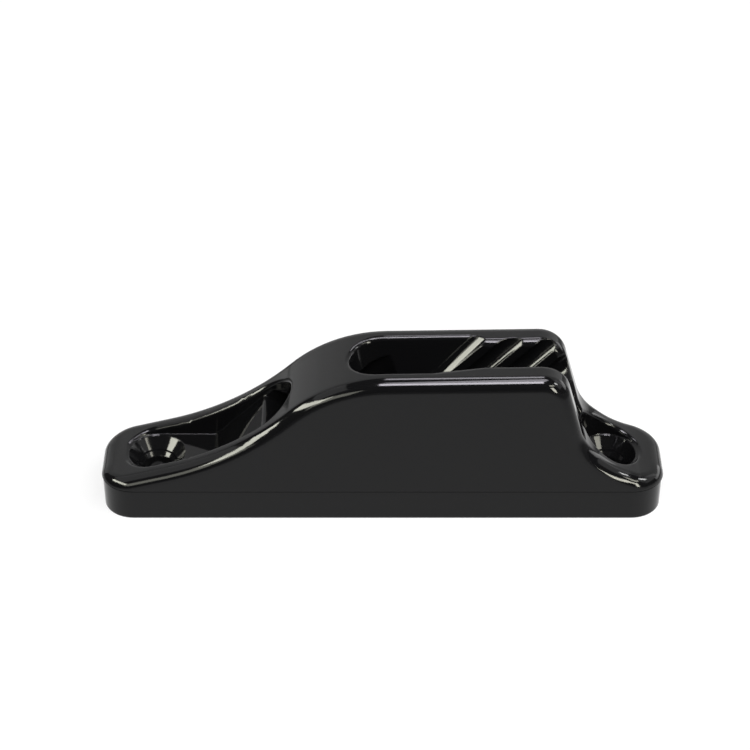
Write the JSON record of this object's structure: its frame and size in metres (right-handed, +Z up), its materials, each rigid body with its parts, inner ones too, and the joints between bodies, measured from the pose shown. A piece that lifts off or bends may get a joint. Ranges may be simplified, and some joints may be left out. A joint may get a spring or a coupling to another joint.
{
  "type": "jam cleat",
  "caption": "Low one-piece rope cleat with ribbed V jaws behind a roofed fairlead; fixed through a countersunk hole at each end.",
  "frame": {"origin": "centre of the flat underside", "axes": "+Z up out of the deck, +X along the body from the fairlead to the jaw tail, +Y across the body"},
  "size_m": [0.082, 0.0146, 0.0246],
  "materials": {
    "nylon_black": "glossy as moulded, black"
  },
  "bodies": {
    "root": {"cleat_body": "nylon_black"}
  },
  "joints": []
}
